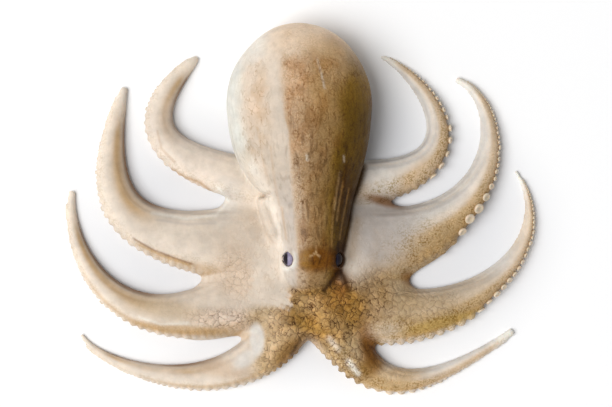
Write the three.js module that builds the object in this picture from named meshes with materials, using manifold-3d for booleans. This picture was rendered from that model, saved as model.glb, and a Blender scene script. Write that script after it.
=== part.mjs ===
// A whole raw octopus laid flat on its arms, with the mantle stretched out behind the head.
// Millimetres. +Z is up from the table, +Y runs from the head to the closed end of the mantle,
// and the origin is on the table under the head, between the eyes. Left and right are the
// animal's own: it faces -Y, so its left side is +X.

import * as THREE from 'three';
import { mergeVertices } from 'three/addons/utils/BufferGeometryUtils.js';
import Module from 'manifold-3d';

const wasm = await Module();
wasm.setup();
const { Manifold, Mesh: SolidMesh } = wasm;

// ---- Arms -------------------------------------------------------------------------------
// path: the arm's centreline on the table, as a cubic Bezier from the crown to the tip.
// root, tip: half widths at the two ends. taper: how fast the width falls, 1 being straight.
// outward: +1 where the suckered, convex edge is on the right of the way out, -1 on the left.
// A slim arm's thickness is given in half widths; a wide one's is limited to ARM_THICKEST.

const ARMS = [
  {
    path: [[-22, 35], [-13.5, 39.5], [-104, 43], [-51, 93]],
    root: 10.7, tip: 1.1, taper: 0.62, outward: -1,
  },
  {
    path: [[-8, 9], [-74, 8.5], [-101.5, 15], [-83.5, 79]],
    root: 18.7, tip: 1.5, taper: 0.93, outward: -1,
  },
  {
    path: [[-8, -2], [-76.5, -49], [-109.5, -3], [-107, 32.5]],
    root: 17.9, tip: 1.6, taper: 1.34, outward: -1,
  },
  {
    path: [[-4, -10], [-22, -72], [-94.5, -46.5], [-102.5, -31.5]],
    root: 14.6, tip: 1, taper: 1.32, outward: -1,
  },
  {
    path: [[4, -10], [22, -53.5], [36.5, -67], [90.5, -30]],
    root: 15.9, tip: 1.7, taper: 1.85, outward: 1,
  },
  {
    path: [[9, -5], [33.5, -46.5], [122.5, -4], [92.5, 42]],
    root: 17.9, tip: 1.2, taper: 1.32, outward: 1,
  },
  {
    path: [[9, 9], [91, 7], [91, 72.5], [66.5, 83]],
    root: 19.9, tip: 1.8, taper: 1.34, outward: 1,
  },
  {
    path: [[16, 37], [78.5, 38], [58.5, 80], [32.5, 93.5]],
    root: 10.9, tip: 1.1, taper: 1.05, outward: 1,
  },
];
const ARM_THICKEST = 13;
const SLIM_ARM_THICKNESS = 1.5;
const ARM_STATIONS = 13;
const ARM_SIDES = 10;
const ARM_LEVEL = 0.4;
const TIP_ROUNDING = 0.02;

// ---- Suckers of the row that shows along each arm's convex edge ----------------------------
// Pitch, waist and height of the centre above the table are given in radii of the sucker.

const SUCKER_FIRST = 0.42;
const SUCKER_LAST = 0.93;
const SUCKER_ROOT_RADIUS = 2.3;
const SUCKER_TIP_RADIUS = 0.8;
const SUCKER_PITCH = 2.8;
const SUCKER_WAIST = 0.8;
const SUCKER_LEVEL = 0.9;
const SUCKER_SIDES = 5;
const SUCKER_REACH = 0.8;

// ---- Web between the arms: one notch for each pair of neighbouring arms, in order ----------
// lobe: how far the rim bulges out over the arm between this notch and the next.

const WEB_NOTCHES = [
  { at: [-4.5, 45], lobe: 2 },
  { at: [-40.5, 26.5], lobe: 20 },
  { at: [-49, -5.5], lobe: 20 },
  { at: [-30, -32.5], lobe: 8 },
  { at: [-3, -31.5], lobe: 5 },
  { at: [31.5, -35], lobe: 12 },
  { at: [45, -6.5], lobe: 22 },
  { at: [38, 27], lobe: 2 },
];
const WEB_RIM_THICKNESS = 2.4;
const WEB_CROWN_HEIGHT = 14;
const WEB_RINGS = [1, 0.85, 0.68, 0.48, 0.25];
const WEB_SIDES = 56;

// ---- Mantle and head: half width against Y, from the front of the head to the closed end ---

const BODY_OUTLINE = [
  [0, -16], [9, -9], [13.4, 4], [17.4, 16], [20.4, 29], [28.2, 47], [32.1, 69], [26.6, 91], [13.8, 104], [0, 107.5],
];
const BODY_FRONT = -16;
const BODY_END = 107.5;
// Centre of the body's section, at even steps of Y between the two ends.
const BODY_SPINE = [[0.5, 5], [-0.2, 12.5], [-3.8, 14.5], [-4.8, 18], [-5.4, 13]];
const HEAD_ROUNDNESS = 0.95;
const MANTLE_ROUNDNESS = 0.7;
const NECK_Y = 12;
const MANTLE_FULL_Y = 62;
const BODY_STATIONS = 22;
const BODY_SIDES = 20;

// Fold of skin that shows beside the neck, where the mantle opens on the right.
const FOLD_CENTRE = [-19.6, 20, 9];
const FOLD_HALF_SIZE = [4.2, 11.5, 8];
const FOLD_TURN = 0.36;

// ---- Eyes: a ball in a raised socket on each side of the head ------------------------------
// at: the top of the raised mound. facing: the way the eye looks out of it.

const EYE_RADIUS = 3.6;
const EYE_GAP = 0.3;
const EYE_SINK = 2.7;
const EYE_SIDES = 12;
const MOUND_RADIUS = 5;
const EYES = [
  { name: 'right_eye', at: [-9.9, 3.4, 21.6], facing: [-0.6, -0.05, 0.8] },
  { name: 'left_eye', at: [12.9, 3.2, 19], facing: [0.86, -0.05, 0.5] },
];

const FLESH_LOOK = { color: 0xd2b492, roughness: 0.32, metalness: 0 };
const EYE_LOOK = { color: 0x2a2438, roughness: 0.12, metalness: 0 };

// ---- Shared steps --------------------------------------------------------------------------

const MERGE_WITHIN = 1e-4;

// Turns a closed three.js geometry into a solid that can be joined and cut.
function solid(geometry) {
  const bare = geometry.clone();
  bare.deleteAttribute('normal');
  bare.deleteAttribute('uv');
  const merged = mergeVertices(bare, MERGE_WITHIN);
  const corners = [];
  const index = merged.index.array;
  for (let i = 0; i < index.length; i += 3) {
    const [a, b, c] = [index[i], index[i + 1], index[i + 2]];
    if (a !== b && b !== c && c !== a) corners.push(a, b, c);
  }
  const vertProperties = new Float32Array(merged.attributes.position.array);
  return new Manifold(new SolidMesh({ numProp: 3, vertProperties, triVerts: new Uint32Array(corners) }));
}

// Moves every vertex of a geometry by a rule that edits the given vector.
function reshape(geometry, rule) {
  const position = geometry.attributes.position;
  const vertex = new THREE.Vector3();
  for (let i = 0; i < position.count; i += 1) {
    vertex.fromBufferAttribute(position, i);
    rule(vertex);
    position.setXYZ(i, vertex.x, vertex.y, vertex.z);
  }
  return geometry;
}

function toGeometry(shape) {
  const mesh = shape.getMesh();
  const geometry = new THREE.BufferGeometry();
  geometry.setAttribute('position', new THREE.BufferAttribute(mesh.vertProperties, 3));
  geometry.setIndex(new THREE.BufferAttribute(mesh.triVerts, 1));
  geometry.computeVertexNormals();
  return geometry;
}

// ---- Arm -----------------------------------------------------------------------------------

function armCurve(arm) {
  return new THREE.CubicBezierCurve(...arm.path.map(([x, y]) => new THREE.Vector2(x, y)));
}

function armHalfWidth(arm, along) {
  return arm.tip + (arm.root - arm.tip) * (1 - along) ** arm.taper;
}

// Flesh is about round where an arm is thin, and no thicker than ARM_THICKEST where it widens.
function armThickness(arm, along) {
  return ARM_THICKEST * Math.tanh((SLIM_ARM_THICKNESS * armHalfWidth(arm, along)) / ARM_THICKEST);
}

function rightOf(direction) {
  return new THREE.Vector2(direction.y, -direction.x);
}

// A round profile turned about the arm's own axis, then laid along the centreline.
function makeArm(arm) {
  const profile = [new THREE.Vector2(0, 0)];
  for (let i = 0; i < ARM_STATIONS; i += 1) {
    const along = (i / (ARM_STATIONS - 1)) * (1 - TIP_ROUNDING);
    profile.push(new THREE.Vector2(armHalfWidth(arm, along), along));
  }
  profile.push(new THREE.Vector2(0, 1));
  const curve = armCurve(arm);
  const geometry = new THREE.LatheGeometry(profile, ARM_SIDES);
  return solid(reshape(geometry, (v) => {
    const along = THREE.MathUtils.clamp(v.y, 0, 1);
    const thickness = armThickness(arm, along);
    const roundness = ((1 - ARM_LEVEL) * thickness) / armHalfWidth(arm, along);
    const centre = curve.getPointAt(along);
    const across = rightOf(curve.getTangentAt(along));
    centre.addScaledVector(across, v.x);
    v.set(centre.x, centre.y, ARM_LEVEL * thickness + v.z * roundness);
  }));
}

// Cups along the convex edge, smaller and closer towards the tip.
function makeSuckers(arm) {
  const curve = armCurve(arm);
  const length = curve.getLength();
  const cups = [];
  let along = SUCKER_FIRST;
  while (along < SUCKER_LAST) {
    const radius = THREE.MathUtils.lerp(SUCKER_ROOT_RADIUS, SUCKER_TIP_RADIUS, along);
    const outward = rightOf(curve.getTangentAt(along)).multiplyScalar(arm.outward);
    const depth = 2 * SUCKER_REACH + radius;
    const cup = new THREE.CylinderGeometry(SUCKER_WAIST * radius, radius, depth, SUCKER_SIDES);
    cup.rotateZ(-Math.PI / 2);
    cup.translate(armHalfWidth(arm, along) + SUCKER_REACH - depth / 2, 0, 0);
    cup.rotateZ(Math.atan2(outward.y, outward.x));
    const centre = curve.getPointAt(along);
    cup.translate(centre.x, centre.y, SUCKER_LEVEL * radius);
    cups.push(solid(cup));
    along += (SUCKER_PITCH * radius) / length;
  }
  return cups;
}

// ---- Web -----------------------------------------------------------------------------------

// Distance from the crown to the web's rim: shortest at each notch, with a round lobe between.
function webRim(angle) {
  const notches = WEB_NOTCHES.map(({ at: [x, y], lobe }) => {
    return { angle: Math.atan2(y, x), reach: Math.hypot(x, y), lobe };
  });
  const turned = (notch) => THREE.MathUtils.euclideanModulo(notch.angle - angle, 2 * Math.PI);
  notches.sort((a, b) => turned(a) - turned(b));
  const before = notches[notches.length - 1];
  const after = notches[0];
  const left = 2 * Math.PI - turned(before);
  const share = left / (left + turned(after));
  const bulge = (before.lobe * (1 - Math.cos(2 * Math.PI * share))) / 2;
  return THREE.MathUtils.lerp(before.reach, after.reach, share) + bulge;
}

function webHeight(ring) {
  return WEB_RIM_THICKNESS + (WEB_CROWN_HEIGHT - WEB_RIM_THICKNESS) * (1 - ring * ring);
}

// A domed disc whose round rim is drawn in at the notches.
function makeWeb() {
  const profile = [new THREE.Vector2(0, -1), new THREE.Vector2(1, -1)];
  for (const ring of WEB_RINGS) profile.push(new THREE.Vector2(ring, webHeight(ring)));
  profile.push(new THREE.Vector2(0, WEB_CROWN_HEIGHT));
  const geometry = new THREE.LatheGeometry(profile, WEB_SIDES);
  geometry.rotateX(Math.PI / 2);
  return solid(reshape(geometry, (v) => {
    const reach = Math.hypot(v.x, v.y);
    if (reach < 1e-6) return;
    const rim = webRim(Math.atan2(v.y, v.x));
    v.x *= rim;
    v.y *= rim;
  }));
}

// ---- Mantle and head -------------------------------------------------------------------------

function makeBody() {
  const outline = new THREE.SplineCurve(BODY_OUTLINE.map(([r, y]) => new THREE.Vector2(r, y)));
  const spine = new THREE.SplineCurve(BODY_SPINE.map(([x, z]) => new THREE.Vector2(x, z)));
  const profile = outline.getSpacedPoints(BODY_STATIONS);
  const geometry = new THREE.LatheGeometry(profile, BODY_SIDES);
  return solid(reshape(geometry, (v) => {
    const centre = spine.getPoint((v.y - BODY_FRONT) / (BODY_END - BODY_FRONT));
    const mantle = THREE.MathUtils.smoothstep(v.y, NECK_Y, MANTLE_FULL_Y);
    v.x += centre.x;
    v.z = centre.y + v.z * THREE.MathUtils.lerp(HEAD_ROUNDNESS, MANTLE_ROUNDNESS, mantle);
  }));
}

function makeFold() {
  const geometry = new THREE.SphereGeometry(1, 12, 8);
  geometry.scale(...FOLD_HALF_SIZE);
  geometry.rotateZ(FOLD_TURN);
  geometry.translate(...FOLD_CENTRE);
  return solid(geometry);
}

// ---- Eyes ------------------------------------------------------------------------------------

// A ball whose centre lies the given depth below the top of an eye's mound.
function eyeBall(eye, depth, radius) {
  const facing = new THREE.Vector3(...eye.facing).normalize();
  const centre = new THREE.Vector3(...eye.at).addScaledVector(facing, -depth);
  const geometry = new THREE.SphereGeometry(radius, EYE_SIDES, EYE_SIDES / 2);
  return geometry.translate(centre.x, centre.y, centre.z);
}

// ---- Assembly --------------------------------------------------------------------------------

function makeFlesh() {
  const mounds = EYES.map((eye) => solid(eyeBall(eye, MOUND_RADIUS, MOUND_RADIUS)));
  const sockets = EYES.map((eye) => solid(eyeBall(eye, EYE_SINK, EYE_RADIUS + EYE_GAP)));
  const arms = ARMS.map(makeArm);
  const suckers = ARMS.flatMap(makeSuckers);
  const whole = Manifold.union([makeBody(), makeFold(), makeWeb(), ...mounds, ...arms, ...suckers]);
  return whole.trimByPlane([0, 0, 1], 0).subtract(Manifold.union(sockets));
}

function named(name, geometry, look) {
  const mesh = new THREE.Mesh(geometry, new THREE.MeshStandardMaterial(look));
  mesh.name = name;
  return mesh;
}

const octopus = new THREE.Group();
octopus.add(named('octopus_body', toGeometry(makeFlesh()), FLESH_LOOK));
for (const eye of EYES) {
  octopus.add(named(eye.name, eyeBall(eye, EYE_SINK, EYE_RADIUS), EYE_LOOK));
}

export default octopus;
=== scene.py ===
"""Looks of a whole raw octopus that lies flat on a pale table, seen straight from above.

Shapes are worked out in millimetres and made in metres. +X is the right of the picture, +Y its
top and +Z points up from the table. The skin is one mesh: a distance field of arms, web, mantle
and head is blended on a grid and turned into a surface. Suckers and eyes are pieces of their own.
"""

import math

import bpy
import numpy as np
import openvdb as vdb
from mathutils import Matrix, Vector


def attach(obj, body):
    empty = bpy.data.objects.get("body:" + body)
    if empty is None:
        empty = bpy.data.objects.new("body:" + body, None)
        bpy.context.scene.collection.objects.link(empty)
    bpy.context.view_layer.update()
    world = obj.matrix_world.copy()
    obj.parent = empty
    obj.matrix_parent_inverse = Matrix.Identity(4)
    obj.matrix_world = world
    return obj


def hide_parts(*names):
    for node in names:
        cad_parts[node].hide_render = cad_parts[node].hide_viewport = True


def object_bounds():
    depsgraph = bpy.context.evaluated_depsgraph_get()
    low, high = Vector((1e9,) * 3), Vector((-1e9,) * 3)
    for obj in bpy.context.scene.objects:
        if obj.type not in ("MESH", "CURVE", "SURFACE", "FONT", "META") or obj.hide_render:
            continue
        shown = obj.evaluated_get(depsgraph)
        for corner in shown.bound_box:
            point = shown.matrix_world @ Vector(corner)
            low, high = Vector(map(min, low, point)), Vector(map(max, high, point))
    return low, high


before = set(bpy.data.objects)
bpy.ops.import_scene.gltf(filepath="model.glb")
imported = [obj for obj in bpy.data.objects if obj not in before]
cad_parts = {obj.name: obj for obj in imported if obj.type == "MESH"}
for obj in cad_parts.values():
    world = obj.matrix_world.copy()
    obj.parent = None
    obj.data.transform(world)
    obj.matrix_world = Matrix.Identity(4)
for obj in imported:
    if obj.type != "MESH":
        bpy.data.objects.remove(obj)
CAD_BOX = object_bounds()

MM = 0.001
VOXEL = 0.81

# ---- Arms ----
# path: the centreline's curve. root, tip: half widths. taper: how fast the width falls.
# outward: +1 where the suckered, convex edge is on the right of the way out, -1 on the left.
# flange: how far the thin skin on the inner edge stands off the round of the arm.
# cup: radius of the largest suckers. pitch: their spacing in radii. finer: how much smaller the
# suckers beyond the largest ones are.
# clear: share of the way out where the suckers come out from under the arm.
# shown: how far the flesh draws back there, in radii, where the suckers are largest and beyond.
# seat: how far up the arm's side the suckers sit, in degrees, where they are largest and beyond.
# lumps: height of the flesh round the suckers, at the root and further out.
# What an arm doesn't state, it has from the side of the picture that it lies on.

LEFT_ARM = dict(outward=-1, flange=0.25, cup=1.5, pitch=2.4, finer=0.2, clear=0.34)
LEFT_ARM |= dict(shown=(0, 0), seat=(-35, -20))
RIGHT_ARM = dict(outward=1, flange=0.6, pitch=2.5)
ARMS = [
    LEFT_ARM | dict(
        path=[(-22.8, 36.7), (-33.2, 41), (-97.6, 49), (-51, 93)], root=10.5, tip=1.2, taper=0.62,
        cup=1.4, clear=0.3, shown=(0.2, 0.1), lumps=(0.3, 0.4),
    ),
    LEFT_ARM | dict(
        path=[(-8, 9), (-74, 8.5), (-101.5, 15), (-83.5, 79)], root=18.7, tip=1.7, taper=0.93,
        flange=0.35, pitch=2.3, shown=(0.2, 0.2), seat=(-35, -15), lumps=(0.9, 0.8),
    ),
    LEFT_ARM | dict(
        path=[(-8, -2), (-76.5, -49), (-109.5, -3), (-107, 32.5)], root=17.9, tip=1.6, taper=1.34,
        lumps=(1.0, 1.0),
    ),
    LEFT_ARM | dict(
        path=[(-4, -10), (-22, -72), (-94.5, -46.5), (-102.5, -31.5)], root=14.6, tip=1, taper=1.32,
        flange=0.3, lumps=(1.2, 1.1),
    ),
    RIGHT_ARM | dict(
        path=[(4, -10), (22, -53.5), (36.5, -67), (90.5, -30)], root=15.9, tip=1.7, taper=1.85,
        flange=0.5, cup=1.7, finer=0.3, clear=0.34, shown=(0, 0), seat=(-30, -20), lumps=(1.5, 0.8),
    ),
    RIGHT_ARM | dict(
        path=[(9, -5), (33.5, -46.5), (122.5, -4), (92.5, 42)], root=17.9, tip=1.2, taper=1.32,
        cup=2.1, pitch=2.2, finer=0.15, clear=0.46, shown=(0.8, 1.0), seat=(30, 35), lumps=(1.7, 0.3),
    ),
    RIGHT_ARM | dict(
        path=[(9, 9), (91, 7), (91, 72.5), (66.5, 83)], root=19.9, tip=1.8, taper=1.34,
        cup=2.3, pitch=2.35, finer=0.4, clear=0.36, shown=(0.5, 0.9), seat=(46, 28), lumps=(1.8, 0.2),
    ),
    RIGHT_ARM | dict(
        path=[(16, 37), (78.5, 38), (58.5, 80), (32.5, 93.5)], root=10.9, tip=1.3, taper=1.05,
        cup=1.8, finer=0.25, clear=0.3, shown=(0.3, 0.7), seat=(15, 20), lumps=(1.0, 0.1),
    ),
]
ARM_THICKEST = 13
ARM_STEPS = 240
ARM_BLEND = 3
BLUNTNESS = 0.6

# The middle of an arm's round back and its half height, as shares of the arm's thickness.
BACK_MIDDLE = 0.42
BACK_HALF_HEIGHT = 0.58

# ---- Web ----
# One notch in the rim for each pair of neighbouring arms: x, y, and how far the rim bulges between
# it and the next notch anticlockwise.

WEB_NOTCHES = [
    (-4.5, 45, 2), (-40.5, 26.5, 20), (-49, -5.5, 20), (-30, -32.5, 8),
    (-3, -31.5, 5), (31.5, -35, 12), (45, -6.5, 22), (38, 27, 2),
]
WEB_RIM_THICKNESS = 3.2
WEB_CROWN_HEIGHT = 13
WEB_COVER = 4

# ---- Mantle and head ----

MANTLE_Y = 69
MANTLE_LENGTH = 38.5
HEAD_Y = 4
HEAD_LENGTH = 20
BODY_Y = [4, 16, 29, 38, 47, 58, 69]
BODY_HALF_WIDTH = [13.4, 16.2, 19.6, 24.2, 28.2, 31.1, 32.1]
BODY_CENTRE_X = [0.5, -0.1, -0.8, -2.6, -4.0, -4.7, -4.9]
BODY_CENTRE_Z = [12.2, 12.6, 13.4, 14.3, 15.6, 16.9, 17.6]
BODY_ROUNDNESS = [0.95, 0.93, 0.88, 0.82, 0.76, 0.72, 0.7]
BODY_REACH = ((-48, -30, -9), (44, 120, 99))

# The flap of skin below the mantle's rim on the animal's right: places and radii along a thin leaf,
# and the cleft above it.
FLAP = [(-20.6, 28.3, 11, 3.2), (-18.4, 22.5, 11, 3.8), (-15.6, 15, 11, 4.0), (-13, 9, 10.5, 3.2)]
FLAP_HEIGHT = 2.6
CLEFT = [(-25, 33.6), (-20.8, 31.2), (-17.4, 31.4)]

# at: the top of the raised mound. facing: the way the eye looks out of it. pupil: how far the
# pupil lies off the middle, in radii. shade: how far the iris is darkened as painted shade, for the
# eye that faces away from the light.
EYES = [
    dict(name="right_eye", at=(-9.9, 3.4, 21.6), facing=(-0.6, -0.05, 0.8), pupil=-0.2, shade=0),
    dict(name="left_eye", at=(12.9, 3.2, 19), facing=(0.86, -0.05, 0.5), pupil=-0.1, shade=0.96),
]
EYE_RADIUS = 3.6
EYE_SINK = 2.7
EYE_GAP = 0.05
EYE_ROWS = 24
EYE_SIDES = 40
PUPIL_SIZE = (0.4, 0.74)
IRIS_SIZE = (0.72, 0.85)
MOUND_RADIUS = 5
MOUND_SINK = 0.3
LID_RING = 3.4
LID_LENGTH = 1.15
LID_DEPTH = 0.45
LID_THICKNESS = 0.6

# ---- Suckers ----
# Half a cup's outline, from the neck inside the flesh, over the rim and down into the hollow,
# in units of the rim's radius: distance from the axis, distance along it.

CUP_OUTLINE = [
    (0.6, -1.3), (0.66, -0.6), (0.82, -0.2), (0.97, 0.03), (1.0, 0.18), (0.96, 0.32),
    (0.86, 0.4), (0.72, 0.42), (0.56, 0.38), (0.38, 0.31), (0.2, 0.27), (0, 0.25),
]
CUP_SIDES = 16
CLEARING = 0.12
ROOT_SEAT = -40
SEAT_SPREAD = 8
SUCKERS_LOWEST = 0.02
SUCKERS_BEYOND = (0.53, 0.64)
SUCKER_FIRST = 0.2
SUCKER_LAST = 0.97
SUCKER_PEAK = 0.45
SUCKER_LEAST = 0.24
SIZE_SEED = 7
AIM_SEED = 11


# ---- Shared maths ----


def smooth_min(a, b, k):
    """The lower of two distances, with the corner between them filled to about radius k."""
    h = np.clip(0.5 + 0.5 * (b - a) / k, 0, 1)
    return b + (a - b) * h - k * h * (1 - h)


def smooth_max(a, b, k):
    return -smooth_min(-a, -b, k)


def ramp(x, low, high):
    """Rises smoothly from 0 at low to 1 at high."""
    t = np.clip((x - low) / (high - low), 0, 1)
    return t * t * (3 - 2 * t)


def fade(x, low, high):
    """Falls smoothly from 1 at low to 0 at high."""
    return 1 - ramp(x, low, high)


def bell(x, centre, half_width):
    """1 at the centre, falling smoothly to about 0 beyond twice the half width."""
    return np.exp(-(((x - centre) / half_width) ** 2))


def curve_through(x, knots, values):
    """A smooth curve through the given values, flat beyond the ends."""
    knots, values = np.array(knots, float), np.array(values, float)
    slopes = np.gradient(values, knots)
    i = np.clip(np.searchsorted(knots, x) - 1, 0, len(knots) - 2)
    step = knots[i + 1] - knots[i]
    t = np.clip((x - knots[i]) / step, 0, 1)
    start = (1 + 2 * t) * (1 - t) ** 2 * values[i] + t * (1 - t) ** 2 * step * slopes[i]
    return start + t * t * (3 - 2 * t) * values[i + 1] - t * t * (1 - t) * step * slopes[i + 1]


def distance_from(centre, x, y, z):
    return np.sqrt((x - centre[0]) ** 2 + (y - centre[1]) ** 2 + (z - centre[2]) ** 2)


def oval_distance(offsets, radii):
    """About how far a point lies outside an oval with the given half axes."""
    k0 = np.sqrt(sum((p / r) ** 2 for p, r in zip(offsets, radii)))
    k1 = np.sqrt(sum((p / r**2) ** 2 for p, r in zip(offsets, radii)))
    return k0 * (k0 - 1) / np.maximum(k1, 1e-6)


def line_gap(x, y, line):
    """Distance in plan from a line through the given places."""
    gap = np.inf
    for (ax, ay), (bx, by) in zip(line, line[1:]):
        span = (bx - ax) ** 2 + (by - ay) ** 2
        t = np.clip(((x - ax) * (bx - ax) + (y - ay) * (by - ay)) / span, 0, 1)
        gap = np.minimum(gap, np.hypot(x - ax - t * (bx - ax), y - ay - t * (by - ay)))
    return gap


def stroke(x, y, line, width):
    """1 on a line through the given places, fading to 0 at about twice the width."""
    return np.exp(-((line_gap(x, y, line) / width) ** 2))


def patch(x, y, at, size, turn=0, soft=0.35):
    """1 inside an oval patch, 0 outside, with a soft edge."""
    dx, dy = x - at[0], y - at[1]
    c, s = math.cos(math.radians(turn)), math.sin(math.radians(turn))
    reach = np.hypot((c * dx + s * dy) / size[0], (c * dy - s * dx) / size[1])
    return fade(reach, 1 - soft, 1 + soft)


def unit(v):
    return np.array(v, float) / np.linalg.norm(v)


class Arm:
    """An arm's centreline and traits, with the way to any place near it."""

    def __init__(self, path, outward, **traits):
        vars(self).update(traits, outward=outward)
        t = np.linspace(0, 1, ARM_STEPS)[:, None]
        a, b, c, d = (np.array(p, float) for p in path)
        self.line = (1 - t) ** 3 * a + 3 * t * (1 - t) ** 2 * b + 3 * t**2 * (1 - t) * c + t**3 * d
        steps = np.linalg.norm(np.diff(self.line, axis=0), axis=1)
        self.length = steps.sum()
        self.share = np.concatenate([[0], np.cumsum(steps)]) / self.length
        heading = np.gradient(self.line, axis=0)
        self.heading = heading / np.linalg.norm(heading, axis=1)[:, None]
        self.across = outward * np.stack([self.heading[:, 1], -self.heading[:, 0]], axis=1)

    def half_width(self, along):
        return self.tip + (self.root - self.tip) * (1 - np.clip(along, 0, 1)) ** self.taper

    def thickness(self, along):
        return ARM_THICKEST * np.tanh(1.5 * self.half_width(along) / ARM_THICKEST)

    def locate(self, x, y):
        """Share of the way to the tip, distance towards the outer edge, and distance past an end."""
        near = np.zeros(x.shape, int)
        best = np.full(x.shape, np.inf)
        for i, (px, py) in enumerate(self.line):
            gap = (x - px) ** 2 + (y - py) ** 2
            closer = gap < best
            best[closer] = gap[closer]
            near[closer] = i
        dx = x - self.line[near, 0]
        dy = y - self.line[near, 1]
        ahead = dx * self.heading[near, 0] + dy * self.heading[near, 1]
        out = dx * self.across[near, 0] + dy * self.across[near, 1]
        along = self.share[near] + ahead / self.length
        past = np.where(along > 1, (along - 1) * self.length, np.minimum(along, 0) * self.length)
        return np.clip(along, 0, 1), out, past

    def place(self, along):
        """Centre and outward direction at a share of the way to the tip."""
        centre, across = (
            np.array([np.interp(along, self.share, v[:, i]) for i in (0, 1)])
            for v in (self.line, self.across)
        )
        return centre, unit(across)

    def cup_radius(self, along):
        rise = 0.7 + 0.3 * ramp(along, SUCKER_FIRST, SUCKER_PEAK)
        fall = SUCKER_LEAST + (1 - SUCKER_LEAST) * fade(along, SUCKER_PEAK, 1.05) ** 0.9
        most = 0.3 * self.half_width(along) + 0.1
        largest = self.cup * (1 - self.finer * ramp(along, *SUCKERS_BEYOND))
        return np.minimum(largest * np.minimum(rise, fall), most)

    def bared(self, along):
        """0 at the root, 1 where the suckers have come out from under the arm."""
        return ramp(along, self.clear, self.clear + CLEARING)

    def by_suckers(self, along, pair, root=0.0):
        """A value given at the root, where the suckers are largest, and beyond."""
        largest, beyond = pair
        value = largest + (beyond - largest) * ramp(along, *SUCKERS_BEYOND)
        return root + (value - root) * self.bared(along)

    def outer_edge(self, along):
        """How far the flesh reaches outwards: short of the full width where suckers stand clear."""
        clear = self.by_suckers(along, self.shown) * self.cup_radius(along)
        return self.half_width(along) - clear

    def ribs(self, along, side):
        """1 above a sucker on the outer edge, -1 between two, and nought elsewhere."""
        count = np.interp(along, [a for a, _ in self.cups], np.arange(len(self.cups)))
        margin = ramp(side, 0.6, 0.9) * ramp(along, SUCKER_FIRST, SUCKER_FIRST + 0.1)
        uneven = 0.7 + 0.3 * np.sin(2.3 * count)
        return np.cos(math.tau * count) * uneven * margin * fade(along, 0.85, 0.95)

    def set_cups(self, rng):
        """Where the suckers sit along the arm, each with its radius."""
        self.cups = []
        along = SUCKER_FIRST
        while along < SUCKER_LAST:
            radius = self.cup_radius(along)
            self.cups.append((along, radius * rng.uniform(0.88, 1.1)))
            along += self.pitch * radius / self.length * rng.uniform(0.94, 1.06)


arms = [Arm(**a) for a in ARMS]
size_rng = np.random.default_rng(SIZE_SEED)
for arm in arms:
    arm.set_cups(size_rng)


# ---- The field's grid ----


class Grid:
    """Distances outside the skin at the corners of a regular grid, built up shape by shape."""

    def __init__(self, low, high):
        self.axes = [np.arange(a, b, VOXEL) for a, b in zip(low, high)]
        self.field = np.full([len(axis) for axis in self.axes], 50.0)

    def near(self, low, high):
        """A view of the field in a box, with the places in it: sheets of x and y, a column of z."""
        cut = tuple(slice(*np.searchsorted(axis, ends)) for axis, ends in zip(self.axes, zip(low, high)))
        x, y = np.meshgrid(self.axes[0][cut[0]], self.axes[1][cut[1]], indexing="ij")
        return self.field[cut], x[:, :, None], y[:, :, None], self.axes[2][cut[2]][None, None, :]

    def whole(self):
        return self.near([axis[0] for axis in self.axes], [axis[-1] + VOXEL for axis in self.axes])

    def join_ball(self, centre, radius, blend):
        reach = radius + 2 * blend
        field, x, y, z = self.near(np.array(centre) - reach, np.array(centre) + reach)
        field[:] = smooth_min(field, distance_from(centre, x, y, z) - radius, blend)

    def surface(self):
        """Points in millimetres and quads of the surface where the distance is nought."""
        limit = 3 * VOXEL
        volume = vdb.FloatGrid(limit)
        volume.copyFromArray(np.clip(self.field, -limit, limit).astype(np.float32))
        points, quads = volume.convertToQuads(0.0)
        return points * VOXEL + [axis[0] for axis in self.axes], quads.tolist()


# ---- Shapes of the skin ----


def join_arm(grid, arm):
    """A round back with ribs above the suckers, and a thin skin on the inner edge with two ridges."""
    margin = arm.root + 2 * ARM_BLEND
    low = (*(arm.line.min(axis=0) - margin), -9)
    high = (*(arm.line.max(axis=0) + margin), 99)
    field, x, y, z = grid.near(low, high)
    along, out, past = arm.locate(x, y)
    w = arm.half_width(along)
    h = arm.thickness(along)
    slim = 0.12 * arm.flange
    half = arm.outer_edge(along) - slim * w
    blunt = BLUNTNESS * w
    offsets = (out - slim * w, z - BACK_MIDDLE * h, past)
    back = oval_distance(offsets, (half, BACK_HALF_HEIGHT * h, blunt))
    skin = oval_distance((out + 0.45 * w, z - 0.2 * h, past), (0.55 * w, 0.14 * h + 0.4, blunt))
    shape = smooth_min(back, skin, 0.16 * h + 0.2)
    from_edge = out + w
    ridges = bell(from_edge, 1.5, 0.55) - 0.8 * bell(from_edge, 2.8, 0.6)
    ridges = ridges + 0.8 * bell(from_edge, 4.2, 0.7)
    reach = ramp(along, 0.1, 0.2) * fade(along, 0.7, 0.95) * ramp(w, 3, 6)
    ribs = 0.32 * arm.ribs(along, out / w)
    shape = shape - 0.5 * arm.flange * ridges * reach - ribs
    off_table = 0.07 * h + 0.1
    shape = smooth_max(shape, off_table - z, 0.1 * h)
    field[:] = smooth_min(field, shape, ARM_BLEND * np.minimum(h / 6, 1))


def join_lumps(grid, arm):
    for along, radius in arm.cups:
        centre, across = arm.place(along)
        root, far = arm.lumps
        height = root + (far - root) * arm.bared(along)
        spot = centre + across * (arm.outer_edge(along) - radius + height)
        if not in_web(spot):
            grid.join_ball((*spot, 0.75 * radius + 0.28 * arm.thickness(along)), radius, 0.9)


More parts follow.
